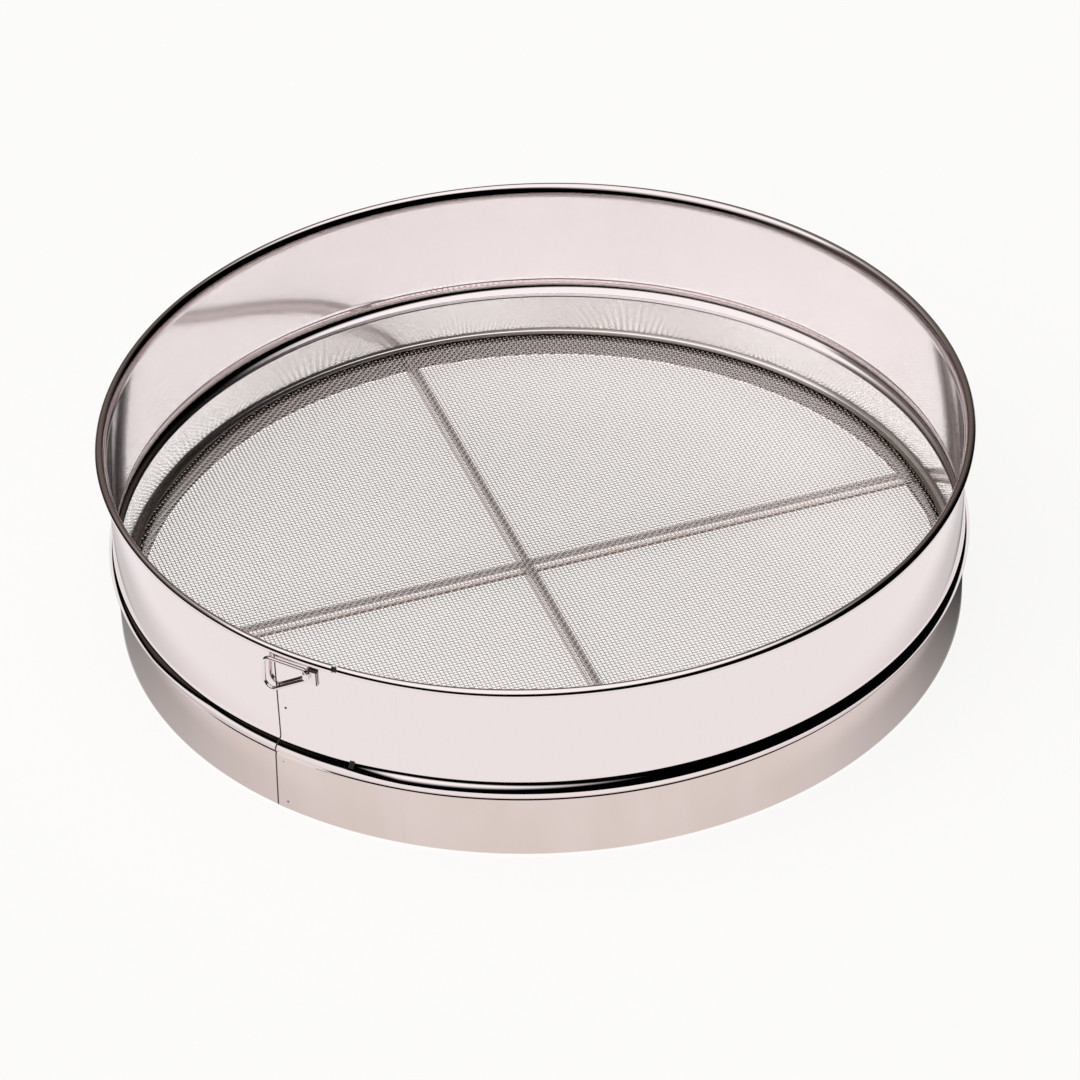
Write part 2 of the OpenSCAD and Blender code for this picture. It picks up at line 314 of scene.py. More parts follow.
class Recipe:
    """The node tree of one material or world."""

    def __init__(self, owner):
        owner.use_nodes = True
        self.tree = owner.node_tree
        self.tree.nodes.clear()
        self.finish = bpy.context.scene.tamis_finishes

    def plug(self, socket, value):
        """Links an input to an amount or an output, or sets it to a number or a colour."""
        if isinstance(value, Amount):
            value = value.socket
        if isinstance(value, bpy.types.NodeSocket):
            self.tree.links.new(value, socket)
        else:
            socket.default_value = (*value, 1) if socket.type == "RGBA" else value

    def node(self, kind, *values, settings=None, output=0, **named):
        """Adds a node, fills its inputs in order or by name, and returns one of its outputs."""
        made = self.tree.nodes.new("ShaderNode" + kind)
        for key, value in (settings or {}).items():
            setattr(made, key, value)
        for socket, value in zip((s for s in made.inputs if s.enabled), values):
            self.plug(socket, value)
        for key, value in named.items():
            self.plug(made.inputs[key.replace("_", " ")], value)
        if isinstance(output, str):
            return made.outputs[output]
        outputs = [s for s in made.outputs if s.enabled]
        return outputs[output] if outputs else None

    def amount(self, kind, *values, **rest):
        """The same, as a number to reckon with."""
        return Amount(self, self.node(kind, *values, **rest))

    def place(self):
        """Object coordinates."""
        return self.node("TexCoord", output="Object")

    def xyz(self):
        """The three object coordinates as numbers."""
        place = self.place()
        return [self.amount("SeparateXYZ", place, output=i) for i in range(3)]

    def away(self):
        """Distance from the drum's axis."""
        x, y, _ = self.xyz()
        return (x * x + y * y).rooted()

    def colours(self, share_of_second, first, second):
        """Two colours mixed."""
        return self.node("Mix", share_of_second, first, second, settings={"data_type": "RGBA"})


def wall_waves(recipe):
    """Shallow dents that make the reflections in the sheet swim."""
    stretch = recipe.node("Mapping", Vector=recipe.place(), Scale=(1, 1, 0.55))
    waves = recipe.node("TexNoise", Vector=stretch, Scale=14.0, Detail=1.0, Roughness=0.4)
    return recipe.node("Bump", Height=waves, Strength=0.35, Distance=0.0006)


def smears(recipe):
    """Faint upright wipes left by the polishing."""
    stretch = recipe.node("Mapping", Vector=recipe.place(), Scale=(1, 1, 0.35))
    return recipe.amount("TexNoise", Vector=stretch, Scale=34.0, Detail=3.0, Roughness=0.55)


def wall_colour(recipe):
    """The sheet, in painted light and shade: another tint inside, matched to what it mirrors there,
    and a duller, warmer painted shade outside below the bead, where it mirrors the shaded floor.
    """
    finish = recipe.finish
    outside = recipe.away().within(*WALL_FACES)
    # Painted shade on the outside below the bead, varied by the wipes.
    below = outside * (1 - recipe.xyz()[2].within(*BEAD_FOOT))
    wiped = smears(recipe).within(0.3, 0.75) * 0.3 + 0.8
    clean = recipe.colours(outside, finish.inner_tint, finish.sheet_tint)
    return recipe.colours(below * wiped, clean, finish.low_tint)


def wall_haze(recipe):
    """The sheet's polish, a little duller inside and where it was wiped."""
    inside = 1 - recipe.away().within(*WALL_FACES)
    return smears(recipe) * 0.02 + inside * 0.05 + recipe.finish.sheet_haze


def on_foot(recipe):
    """1 on the hoop's turned-in foot, 0 on its band."""
    return 1 - recipe.away().within(*HOOP_BEND)


def hoop_colour(recipe):
    """The hoop as lit and shaded copies of one sheet: painted light makes its band bright, painted
    shade makes its foot dull and brown.
    """
    return recipe.colours(on_foot(recipe), recipe.finish.hoop_tint, recipe.finish.foot_tint)


def hoop_haze(recipe):
    """The hoop's polish, dull on its foot."""
    return on_foot(recipe) * 0.2 + recipe.finish.hoop_haze


def strip_colour(recipe):
    """The strips in painted light and shade: pale on top, darker at their sides, and a brown painted
    shade, its edge broken up by grain, towards the lower edges.
    """
    finish = recipe.finish
    z = recipe.xyz()[2]
    grain = recipe.amount("TexNoise", Vector=recipe.place(), Scale=420.0, Detail=2.0)
    lit_top_shaded_sides = recipe.colours(z.within(*STRIP_TOP), finish.side_tint, finish.strip_tint)
    return recipe.colours((z + grain * 0.0008).within(*STRIP_LOWER_SHADE), finish.strip_lower_shade_tint, lit_top_shaded_sides)


def strip_metal(recipe):
    """How metallic the strips look: less on their tops, so that the painted light there reads as pale
    and lit.
    """
    return 1 - recipe.xyz()[2].within(*STRIP_TOP) * 0.6


def wire_colour(recipe):
    """The cloth's wire in painted light and shade: lighter on top and darker below, and painted near
    black along the margin over the seat ring, with painted highlights on the knuckles there.
    """
    finish = recipe.finish
    z = recipe.xyz()[2]
    patches = recipe.amount("TexNoise", Vector=recipe.place(), Scale=900.0, Detail=1.0)
    # Painted shade along the margin over the seat ring, its edge broken up by noise, with painted
    # highlights on the knuckles.
    margin = (recipe.away() + patches * 0.0012).within(*CLOTH_MARGIN)
    # Painted light on the tops of the wires, painted shade on their lower sides.
    clean = recipe.colours(z.within(*WIRE_TOP), finish.under_tint, finish.wire_tint)
    margin_shade = recipe.colours(z.within(*WIRE_KNUCKLE), finish.margin_shade_tint, finish.knuckle_highlight_tint)
    return recipe.colours(margin, clean, margin_shade)


# Each steel's tint and haze in Finishes, and what else is set or varies over it.
STEELS = {
    "polished_sheet": (
        "sheet", {"Base_Color": wall_colour, "Roughness": wall_haze, "Normal": wall_waves}
    ),
    "hoop_sheet": ("hoop", {"Base_Color": hoop_colour, "Roughness": hoop_haze}),
    # The seat ring's near-black tint is painted shade.
    "ring_sheet": ("ring", {}),
    "strip_sheet": ("strip", {"Base_Color": strip_colour, "Metallic": strip_metal}),
    "woven_wire": ("wire", {"Base_Color": wire_colour}),
    "hanger_wire": ("hanger", {}),
    "core_and_notch_shade": ("core", {"Metallic": 0.0}),
    "weld_spots_and_shade": ("spot", {"Metallic": 0.0}),
}


def steel(name):
    """One of the steels, made when it's first asked for."""
    if name in bpy.data.materials:
        return bpy.data.materials[name]
    finish, changes = STEELS[name]
    material = bpy.data.materials.new(name)
    recipe = Recipe(material)
    reflect = getattr(recipe.finish, finish + "_tint")
    haze = getattr(recipe.finish, finish + "_haze")
    inputs = {"Metallic": 1.0, "Roughness": haze, "Base_Color": reflect}
    for key, change in changes.items():
        inputs[key] = change(recipe) if callable(change) else change
    surface = recipe.node("BsdfPrincipled", **inputs)
    recipe.node("OutputMaterial", Surface=surface)
    material.diffuse_color = (*reflect, 1)
    return material


def wall_inner(context):
    """Radius of the drum wall's inner face."""
    return RIM_RADIUS - context.scene.tamis_drum.rim


def wall_outer(context):
    """Radius of the drum wall's outer face."""
    return wall_inner(context) + context.scene.tamis_drum.sheet


def flare_foot(drum):
    """Height where the wall starts to lean out into the roll."""
    turn = drum.flare_turn
    return DRUM_HEIGHT - drum.roll * (1 - math.sin(turn)) - drum.flare * math.sin(turn)


def azimuth_of(point):
    """A point's azimuth."""
    return math.atan2(point.x, -point.y)


def turned_to(azimuth_angle):
    """The turn that takes what was drawn on the +X side to an azimuth."""
    return Matrix.Rotation(azimuth_angle - math.pi / 2, 4, "Z")


def turn_all(bm, angle, axis="Z"):
    """Turns all that's drawn about an axis through the origin."""
    bmesh.ops.rotate(bm, verts=bm.verts, cent=(0, 0, 0), matrix=Matrix.Rotation(angle, 3, axis))


def move_all(bm, way):
    """Moves all that's drawn."""
    bmesh.ops.translate(bm, verts=bm.verts, vec=way)


def line(bm, points):
    """A line through points given as radius and height, drawn on the +X side."""
    verts = [bm.verts.new((x, 0, z)) for x, z in points]
    for a, b in zip(verts, verts[1:]):
        bm.edges.new((a, b))
    return verts


def swing(bm, vert, centre, angle, steps):
    """Draws an arc on from a vertex about a centre, anticlockwise seen from the front."""
    made = bmesh.ops.spin(
        bm, geom=[vert], cent=(centre[0], 0, centre[1]), axis=-Y_AXIS, angle=angle, steps=steps
    )
    return next(v for v in made["geom_last"] if isinstance(v, BMVert))


def round_off(bm, geom, offset, segments, affect="VERTICES"):
    """Rounds corners of a drawn line, or edges."""
    bmesh.ops.bevel(
        bm, geom=geom, offset=offset, offset_type="OFFSET", segments=segments,
        affect=affect, profile=0.5, material=-1, clamp_overlap=True,
    )


def soften(bm, offset):
    """Breaks the edges sharper than 50 degrees."""
    sharp = [e for e in bm.edges if e.is_manifold and e.calc_face_angle(0) > math.radians(50)]
    round_off(bm, sharp, offset, 2, "EDGES")


def revolve(bm, steps, start=0.0, span=2 * math.pi):
    """Turns the drawn line round the drum's axis."""
    whole = abs(span - 2 * math.pi) < 1e-6
    turn_all(bm, start - math.pi / 2)
    bmesh.ops.spin(
        bm, geom=bm.verts[:] + bm.edges[:], cent=(0, 0, 0), axis=Z_AXIS, angle=span,
        steps=steps, use_merge=whole,
    )


def thicken(bm, amount):
    """Gives an open sheet its thickness, towards the axis it was drawn round."""
    bmesh.ops.recalc_face_normals(bm, faces=bm.faces[:])
    upright = max(bm.faces, key=lambda f: f.calc_area() * (1 - abs(f.normal.z)))
    middle = upright.calc_center_median()
    if upright.normal.dot(Vector((middle.x, middle.y, 0))) < 0:
        bmesh.ops.reverse_faces(bm, faces=bm.faces[:])
    bmesh.ops.solidify(bm, geom=bm.faces[:], thickness=amount)


def as_object(name, bm, material):
    """Makes the mesh an object of one material."""
    mesh = bpy.data.meshes.new(name)
    bm.to_mesh(mesh)
    bm.free()
    mesh.materials.append(material)
    made = bpy.data.objects.new(name, mesh)
    bpy.context.scene.collection.objects.link(made)
    return made


def finish_piece(name, bm, metal, node, body="drum", smooth_to=35, clean=True, even=True):
    """Makes the mesh an object of one of the steels that stands for a CAD node."""
    if clean:
        bmesh.ops.remove_doubles(bm, verts=bm.verts[:], dist=1e-6)
        bmesh.ops.recalc_face_normals(bm, faces=bm.faces[:])
    for face in bm.faces:
        face.smooth = True
    for edge in bm.edges:
        edge.smooth = edge.calc_face_angle(0) < math.radians(smooth_to)
    piece = as_object(name, bm, steel(metal))
    if even:
        weighted = piece.modifiers.new("flat_faces_stay_flat", "WEIGHTED_NORMAL")
        weighted.weight = 60
        weighted.keep_sharp = True
    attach(piece, body)
    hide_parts(node)


def wall_line(bm, context, low, high):
    """The wall's outer face between two heights, with the bead in it."""
    drum = context.scene.tamis_drum
    radius = wall_outer(context)
    foot = line(bm, [
        (radius, low),
        (radius, drum.bead_low - drum.crease),
        (radius - drum.neck, drum.bead_low),
    ])
    lean, dome, cove = drum.bead_lean, drum.bead_dome, drum.bead_cove
    chord = Vector((drum.bead_out + drum.neck, drum.bead_crest - drum.bead_low))
    up = Vector((-chord.y, chord.x)) / (2 * math.tan(drum.bead_belly / 2))
    centre = Vector((radius - drum.neck, drum.bead_low)) + chord / 2 + up
    crest = swing(bm, foot[2], centre, drum.bead_belly, 10)
    first = math.acos(math.cos(lean) + (drum.bead_out - cove * (1 - math.cos(lean))) / dome)
    centre = crest.co.xz - dome * Vector((math.cos(first), math.sin(first)))
    shoulder = swing(bm, crest, centre, lean - first, 12)
    centre = shoulder.co.xz + cove * Vector((math.cos(lean), math.sin(lean)))
    last = swing(bm, shoulder, centre, -lean, 8)
    end = bm.verts.new((last.co.x, 0, high))
    bm.edges.new((last, end))
    round_off(bm, [foot[1]], 0.18 * MM, 3)
    round_off(bm, [crest], 0.3 * MM, 3)
    return end


def in_stretch(point, start, start_width, end, end_width):
    """1 well inside a stretch of azimuths and 0 outside it."""
    turn = math.degrees(azimuth_of(point))
    return min(max(min((turn - start) / start_width, (end - turn) / end_width), 0), 1)


def draw_in(point, share_of_radius):
    """Moves a point towards the drum's axis."""
    point.x *= 1 - share_of_radius
    point.y *= 1 - share_of_radius


def flatten_bead(bm, context):
    """Flattens the bead round the lap, where it was rolled through two sheets."""
    drum = context.scene.tamis_drum
    outer = wall_outer(context)
    low, high = drum.bead_low - 0.9 * MM, drum.bead_high + 0.5 * MM
    for vert in bm.verts:
        if low < vert.co.z < high:
            out = max(vert.co.xy.length - outer, 0)
            flatter = 0.4 * in_stretch(vert.co, *FLAT_BEAD)
            draw_in(vert.co, flatter * out / (outer + out))


def press_rim(bm, context):
    """Narrows the rolled rim on the left of the front, where it was pressed flatter."""
    inner = wall_outer(context) + 0.3 * MM
    low = DRUM_HEIGHT - 5.2 * MM
    for vert in bm.verts:
        radius = vert.co.xy.length
        if vert.co.z >= low and radius >= inner:
            near = in_stretch(vert.co, *PRESSED_RIM)
            narrower = 0.36 * near * near * (3 - 2 * near)
            draw_in(vert.co, narrower * (radius - inner) / radius)


def cut_away(bm, gone):
    """Deletes the faces whose middles pass a test."""
    faces = [f for f in bm.faces if gone(f.calc_center_median())]
    bmesh.ops.delete(bm, geom=faces, context="FACES")


class TAMIS_OT_drum_shell(bpy.types.Operator):
    """Makes the drum: wall, bead, rolled rim and bottom flange"""

    bl_idname = "tamis.drum_shell"
    bl_label = "Drum shell"

    def execute(self, context):
        drum = context.scene.tamis_drum
        bm = bmesh.new()
        end = wall_line(bm, context, drum.corner, flare_foot(drum))
        start = next(v for v in bm.verts if v.co.z <= drum.corner + 1e-7)
        corner_centre = (wall_outer(context) - drum.corner, drum.corner)
        corner = swing(bm, start, corner_centre, -math.pi / 2, 6)
        flange = bm.verts.new((wall_inner(context) - drum.flange, 0, 0))
        bm.edges.new((corner, flange))
        self.roll_line(bm, end, drum)
        revolve(bm, drum.facets, start=context.scene.tamis_lap.butt)
        flatten_bead(bm, context)
        self.step_roll(bm, context)
        press_rim(bm, context)
        thicken(bm, drum.sheet)
        finish_piece("drum_wall", bm, "polished_sheet", "drum_shell")
        return {"FINISHED"}

    @staticmethod
    def roll_line(bm, end, drum):
        """Draws the flare and the roll on from the top of the wall."""
        turn = drum.flare_turn
        bend = drum.flare - drum.sheet
        leaning = swing(bm, end, (end.co.x + bend, end.co.z), -turn, 6)
        core = drum.roll - drum.sheet
        toward = Vector((math.cos(turn), -math.sin(turn)))
        centre = leaning.co.xz + toward * core
        closing = math.acos((core - drum.roll_slot) / core)
        swing(bm, leaning, centre, -(2 * math.pi - closing - turn), 24)

    @staticmethod
    def step_roll(bm, context):
        """Stands the roll out over the lap and cuts the gap where its ends meet."""
        lap = context.scene.tamis_lap
        low = flare_foot(context.scene.tamis_drum) + 0.6 * MM
        half = lap.notch / 2 / RIM_RADIUS
        few_facets = 0.03

        def near(point, azimuth_angle, width, above):
            """Whether a point lies above a height and near an azimuth."""
            return abs(azimuth_of(point) - azimuth_angle) < width and point.z > above

        for at in (lap.butt - half, lap.butt + half):
            faces = [f for f in bm.faces if near(f.calc_center_median(), at, few_facets, low)]
            cut = {part for f in faces for part in (*f.verts, *f.edges, f)}
            side = Vector((math.cos(at), math.sin(at), 0))
            bmesh.ops.bisect_plane(bm, geom=list(cut), plane_co=(0, 0, 0), plane_no=side)
        inner = wall_outer(context) + 0.6 * MM
        cut_away(bm, lambda at: near(at, lap.butt, half, low + 1 * MM) and at.xy.length > inner)
        fade, rise = 0.15, 2 * MM
        for vert in bm.verts:
            turn = azimuth_of(vert.co)
            if turn < lap.butt and vert.co.z > low:
                upper = min((vert.co.z - low) / rise, 1)
                lapped = min(max((turn - lap.end) / fade + 1, 0), 1)
                outward = Vector((math.sin(turn), -math.cos(turn), 0))
                vert.co += outward * lap.roll_out * upper * lapped


class TAMIS_OT_side_lap(bpy.types.Operator):
    """Makes the end of the outer sheet, its dark line and its notch of painted shade, and its weld
    spots
    """

    bl_idname = "tamis.side_lap"
    bl_label = "Side lap"

    # Azimuth in degrees, height in millimetres and share of the full radius.
    SPOTS = ((-35.15, 52.0, 0.9), (-36.2, 24.5, 0.5), (-35.95, 5.0, 0.8))

    def execute(self, context):
        drum = context.scene.tamis_drum
        lap = context.scene.tamis_lap
        high = flare_foot(drum) + 0.4 * MM
        # The lap's dark line is a strip of painted shade along the sheet's end.
        for name, metal, low, steps, start, span in (
            ("lap_sheet", "polished_sheet", drum.corner, 60, lap.fade, lap.fade - lap.end),
            ("lap_line", "weld_spots_and_shade", drum.corner + 0.3 * MM, 2, lap.end, lap.line / RIM_RADIUS),
        ):
            bm = self.strip_of_wall(context, low, high, steps, start, span)
            thicken(bm, drum.sheet / 2)
            finish_piece(name, bm, metal, "drum_shell")
        self.notch(context)
        bm = bmesh.new()
        sunk = wall_outer(context) + lap.out * 0.86
        for degrees, height, size in self.SPOTS:
            place = turned_to(math.radians(degrees)) @ Matrix.Translation((sunk, 0, height * MM))
            flat = Matrix.Diagonal((0.2, 1, 1, 1))
            bmesh.ops.create_uvsphere(
                bm, u_segments=16, v_segments=10, radius=lap.spot * size, matrix=place @ flat
            )
        finish_piece("weld_spots", bm, "weld_spots_and_shade", "drum_shell", clean=False)
        return {"FINISHED"}

    @staticmethod
    def strip_of_wall(context, low, high, steps, start, span):
        """A strip of wall, leaning and standing out more the nearer it is to the lap's end."""
        drum = context.scene.tamis_drum
        lap = context.scene.tamis_lap
        set_in, lean_high = 0.03 * MM, 9 * MM
        bm = bmesh.new()
        wall_line(bm, context, low, high)
        revolve(bm, steps, span=-span)
        for vert in bm.verts:
            turn = start + azimuth_of(vert.co)
            share_out = (lap.fade - turn) / (lap.fade - lap.end)
            over_bead = min(max((vert.co.z - drum.bead_low) / lean_high, 0), 1)
            under_bead = min(vert.co.z / drum.bead_low, 1)
            turn += share_out * (lap.lean * (over_bead - 0.5) + lap.low_lean * under_bead)
            radius = vert.co.xy.length + lap.out * share_out**2 - set_in
            vert.co.x = radius * math.sin(turn)
            vert.co.y = -radius * math.cos(turn)
        flatten_bead(bm, context)
        return bm

    def notch(self, context):
        """A dark sheet on the bead: painted shade for the notch where the inner sheet ends."""
        drum = context.scene.tamis_drum
        lap = context.scene.tamis_lap
        bm = self.strip_of_wall(
            context, drum.corner, drum.bead_high + 1 * MM, 2,
            lap.butt + lap.notch_turn, lap.notch / RIM_RADIUS,
        )
        cut_away(bm, lambda at: not lap.notch_low < at.z < lap.notch_high)
        proud = 0.12 * MM
        move_all(bm, turned_to(lap.butt) @ Vector((proud, 0, 0)))
        thicken(bm, drum.sheet / 2)
        finish_piece("lap_notch", bm, "core_and_notch_shade", "drum_shell")


class TAMIS_OT_rim_wire(bpy.types.Operator):
    """Makes the core wire of the rolled rim"""

    bl_idname = "tamis.rim_wire"
    bl_label = "Rim wire"

    def execute(self, context):
        drum = context.scene.tamis_drum
        play = 0.05 * MM
        bm = bmesh.new()
        bmesh.ops.create_circle(bm, segments=12, radius=drum.roll - drum.sheet - play)
        turn_all(bm, math.pi / 2, "X")
        move_all(bm, (RIM_RADIUS - drum.roll - play, 0, DRUM_HEIGHT - drum.roll))
        revolve(bm, drum.facets // 2)
        press_rim(bm, context)
        # The core wire is near black: painted shade inside the roll.
        finish_piece("core_wire", bm, "core_and_notch_shade", "rim_wire")
        return {"FINISHED"}


class TAMIS_OT_cloth_rings(bpy.types.Operator):
    """Makes the retaining hoop and the seat ring that clamp the cloth"""

    bl_idname = "tamis.cloth_rings"
    bl_label = "Hoop and seat ring"

    def execute(self, context):
        drum = context.scene.tamis_drum
        cloth = context.scene.tamis_cloth
        outside = wall_inner(context) - cloth.play
        self.ring("retaining_hoop", "band", "hoop_sheet", [
            (outside - cloth.foot, cloth.foot_height + cloth.foot_rise),
            (outside - cloth.hoop_lean, cloth.foot_height),
            (outside, cloth.hoop_top),
        ], drum, drum.sheet, cloth.bend, 5, 0.22 * MM)
        inside = outside - cloth.seat_width + cloth.seat
        top = cloth.seat_top - cloth.seat
        self.ring("seat_ring", "angle", "ring_sheet", [
            (inside, drum.sheet + cloth.play / 2),
            (inside, top),
            (outside, top),
        ], drum, cloth.seat, cloth.bend - cloth.seat, 4, 0.2 * MM)
        return {"FINISHED"}

    @staticmethod
    def ring(node, form, metal, points, drum, sheet, bend, bend_steps, soft):
        """A ring of sheet with one bend in its section."""
        bm = bmesh.new()
        section = line(bm, points)
        round_off(bm, [section[1]], bend, bend_steps)
        revolve(bm, drum.facets)
        thicken(bm, sheet)
        soften(bm, soft)
        finish_piece(f"{node}_{form}", bm, metal, node)


class TAMIS_OT_wire_cloth(bpy.types.Operator):
    """Weaves the wire cloth"""

    bl_idname = "tamis.wire_cloth"
    bl_label = "Wire cloth"

    def execute(self, context):
        cloth = context.scene.tamis_cloth
        each_side = int(cloth.radius / cloth.pitch)
        groups = self.shares(range(-each_side, each_side + 1), cloth)
        for way, turn in (("warp", 0.0), ("weft", math.pi / 2)):
            for index, numbers in enumerate(groups):
                bm = bmesh.new()
                for number in numbers:
                    self.add_wire(bm, cloth, number, way == "weft")
                turn_all(bm, cloth.turn + turn)
                move_all(bm, (0, 0, cloth.height))
                finish_piece(
                    f"{way}_wires_{index + 1}", bm, "woven_wire", "wire_cloth",
                    smooth_to=100, clean=False, even=False,
                )
        return {"FINISHED"}

    @staticmethod
    def chord(cloth, number):
        """Half the length of a wire, in half pitches."""
        off = number * cloth.pitch
        return int(math.sqrt(max(cloth.radius**2 - off**2, 0)) / (cloth.pitch / 2))

    def shares(self, numbers, cloth):
        """Splits the wires into groups of about the same length of wire."""
        total = sum(self.chord(cloth, n) for n in numbers)
        groups, run = [[]], 0
        for n in numbers:
            if run > total * len(groups) / cloth.pieces:
                groups.append([])
            groups[-1].append(n)
            run += self.chord(cloth, n)
        return groups

    def add_wire(self, bm, cloth, number, other_way):
        """One wavy wire along X, over and under the ones across it."""
        half_pitches = self.chord(cloth, number)
        if half_pitches < 1:
            return
        stations = 2 * half_pitches
        corner = cloth.wire * 0.55
        wire = bmesh.new()
        bmesh.ops.create_cone(
            wire, cap_ends=True, segments=4, radius1=corner, radius2=corner,
            depth=stations * cloth.pitch / 2, matrix=Matrix.Rotation(math.pi / 2, 4, "Y"),
        )
        along = [e for e in wire.edges if abs(e.verts[0].co.x - e.verts[1].co.x) > cloth.pitch / 4]
        bmesh.ops.subdivide_edges(wire, edges=along, cuts=stations - 1, use_grid_fill=True)
        lift = cloth.wave * (-1 if (number % 2 == 0) == other_way else 1)
        for vert in wire.verts:
            vert.co.z += lift * math.cos(math.pi * vert.co.x / cloth.pitch)
            vert.co.y += number * cloth.pitch
        mesh = bpy.data.meshes.new("wire")
        wire.to_mesh(mesh)
        wire.free()
        bm.from_mesh(mesh)
        bpy.data.meshes.remove(mesh)


class TAMIS_OT_support_cross(bpy.types.Operator):
    """Makes the two strips under the cloth"""

    bl_idname = "tamis.support_cross"
    bl_label = "Support cross"

    def execute(self, context):
        cross = context.scene.tamis_cross
        self.strip(context, "long_strip", cross.long_off, 0, -cross.lapped_off, -1)
        self.strip(context, "lapped_strip", cross.lapped_off, math.pi / 2, cross.long_off, 1)
        return {"FINISHED"}

    @staticmethod
    def strip(context, node, off, turn, slot_at, slot_side):
        """An upturned channel with a slot, above or below, where the other strip crosses it."""
        cloth = context.scene.tamis_cloth
        cross = context.scene.tamis_cross
        end = wall_inner(context) - cloth.play - cloth.seat_width - cloth.play
        side = cross.width / 2
        reach = math.sqrt(end**2 - (off + side) ** 2)
        bm = bmesh.new()
        corners = line(bm, [(-side, -cross.depth), (-side, 0), (side, 0), (side, -cross.depth)])
        round_off(bm, corners[1:3], cross.corner, 5)
        made = bmesh.ops.extrude_edge_only(bm, edges=bm.edges[:])
        far_end = [v for v in made["geom"] if isinstance(v, BMVert)]
        bmesh.ops.translate(bm, verts=far_end, vec=(0, 2 * reach, 0))
        move_all(bm, (0, -reach, 0))
        turn_all(bm, -math.pi / 2)
        half_depth = cross.depth / 2
        for cut_at, normal in (
            ((slot_at - cross.slot / 2, 0, 0), X_AXIS),
            ((slot_at + cross.slot / 2, 0, 0), X_AXIS),
            ((0, 0, -half_depth), Z_AXIS),
        ):
            whole = bm.verts[:] + bm.edges[:] + bm.faces[:]
            bmesh.ops.bisect_plane(bm, geom=whole, plane_co=cut_at, plane_no=normal)
        cut_away(bm, lambda at: (
            abs(at.x - slot_at) < cross.slot / 2 and (at.z + half_depth) * slot_side > 0
        ))
        thicken(bm, cross.sheet)
        move_all(bm, (0, off, cross.top))
        turn_all(bm, cloth.turn + turn)
        finish_piece(node + "_channel", bm, "strip_sheet", node)


